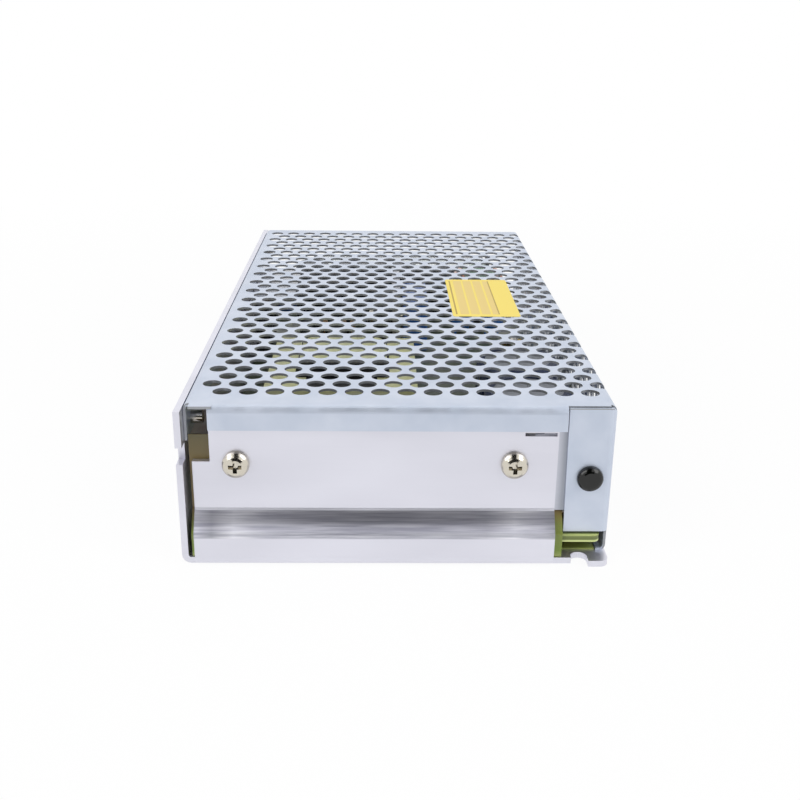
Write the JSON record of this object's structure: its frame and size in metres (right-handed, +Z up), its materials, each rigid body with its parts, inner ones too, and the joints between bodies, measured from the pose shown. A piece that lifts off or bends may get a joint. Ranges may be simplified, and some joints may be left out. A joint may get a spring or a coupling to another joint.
{
  "type": "enclosed switching power supply",
  "caption": "Switching power supply in a folded aluminium chassis under a perforated steel cover, with a screw terminal block at one end.",
  "frame": {"origin": "centre of the case's footprint, on the underside of the base", "axes": "+Y runs along the case from the joggled end plate to the terminals, +Z is up through the perforated top, +X points to the side with the perforated wall and the voltage selector"},
  "size_m": [0.098, 0.199, 0.0381],
  "materials": {
    "aluminium_sheet": "satin",
    "galvanised_steel": "satin",
    "yellow_label": "satin",
    "nickel_steel": "polished",
    "gloss_black_nylon": "gloss",
    "amber_film": "satin",
    "glass_epoxy": "satin",
    "brass": "satin",
    "black_plastic": "satin",
    "clear_plastic": "gloss",
    "blue_plastic": "gloss",
    "white_plastic": "satin",
    "green_plastic": "gloss",
    "red_plastic": "satin",
    "bare_aluminium": "satin",
    "grey_silicone": "matte",
    "black_epoxy": "matte",
    "ferrite": "matte",
    "yellow_tape": "satin",
    "can_aluminium": "satin",
    "dark_sleeve": "gloss",
    "yellow_powder_core": "satin",
    "copper_wire": "gloss",
    "green_core": "satin",
    "brown_epoxy": "gloss",
    "fuse_glass": "gloss",
    "tan_lacquer": "satin"
  },
  "bodies": {
    "case": {"chassis": "aluminium_sheet", "cover": "galvanised_steel", "label": "yellow_label", "end_plate_screws": "nickel_steel", "cover_rivet": "gloss_black_nylon", "cover_side_screws": "nickel_steel", "cover_foot_screws": "nickel_steel", "insulating_film": "amber_film", "circuit_board": "glass_epoxy", "spacers": "brass", "board_screws": "nickel_steel", "terminal_block": "black_plastic", "terminal_strips": "nickel_steel", "terminal_clamps": "nickel_steel", "terminal_screws": "nickel_steel", "trimmer_body": "blue_plastic", "output_led": "green_plastic", "selector_body": "black_plastic", "heat_bar": "bare_aluminium", "transistor_pads": "grey_silicone", "power_transistors": "black_epoxy", "transistor_screws": "nickel_steel", "transformer_core": "ferrite", "transformer_bobbin": "black_plastic", "transformer_winding": "yellow_tape", "transformer_tape": "yellow_tape", "input_capacitor_cans": "can_aluminium", "input_capacitor_sleeves": "dark_sleeve", "output_capacitor_cans": "can_aluminium", "output_capacitor_sleeves": "dark_sleeve", "driver_core": "ferrite", "driver_bobbin": "black_plastic", "driver_winding": "yellow_tape", "output_choke_core": "yellow_powder_core", "output_choke_winding": "copper_wire", "line_choke_core": "green_core", "line_choke_windings": "copper_wire", "line_choke_seat": "black_plastic", "rectifier_heatsink": "bare_aluminium", "output_rectifiers": "black_epoxy", "heatsink_screws": "nickel_steel", "bridge_heatsink": "bare_aluminium", "bridge_rectifier": "black_epoxy", "bridge_screw": "nickel_steel", "line_capacitor": "blue_plastic", "film_capacitors": "brown_epoxy", "safety_capacitors": "blue_plastic", "thermistor": "black_epoxy", "fuse_tube": "fuse_glass", "fuse_caps": "nickel_steel", "fuse_clips": "brass", "control_chip": "black_epoxy", "small_capacitors": "dark_sleeve", "resistors": "tan_lacquer", "diodes": "black_epoxy"},
    "terminal_lid": {"terminal_cover": "clear_plastic"},
    "trimmer": {"trimmer_rotor": "white_plastic"},
    "selector": {"selector_slider": "red_plastic"}
  },
  "joints": [
    {"name": "terminal_cover_hinge", "type": "hinge", "parent": "case", "child": "terminal_lid", "pos_m": [0.0045, 0.0908, 0.0262], "axis": [1, 0, 0], "range_deg": [0, 110]},
    {"name": "trimmer_turn", "type": "hinge", "parent": "case", "child": "trimmer", "pos_m": [-0.0394, 0.0918, 0.0117], "axis": [0, 0, 1], "range_deg": [-120, 120]},
    {"name": "selector_slide", "type": "slide", "parent": "case", "child": "selector", "axis": [0, 1, 0], "range_m": [0, 0.004]}
  ]
}
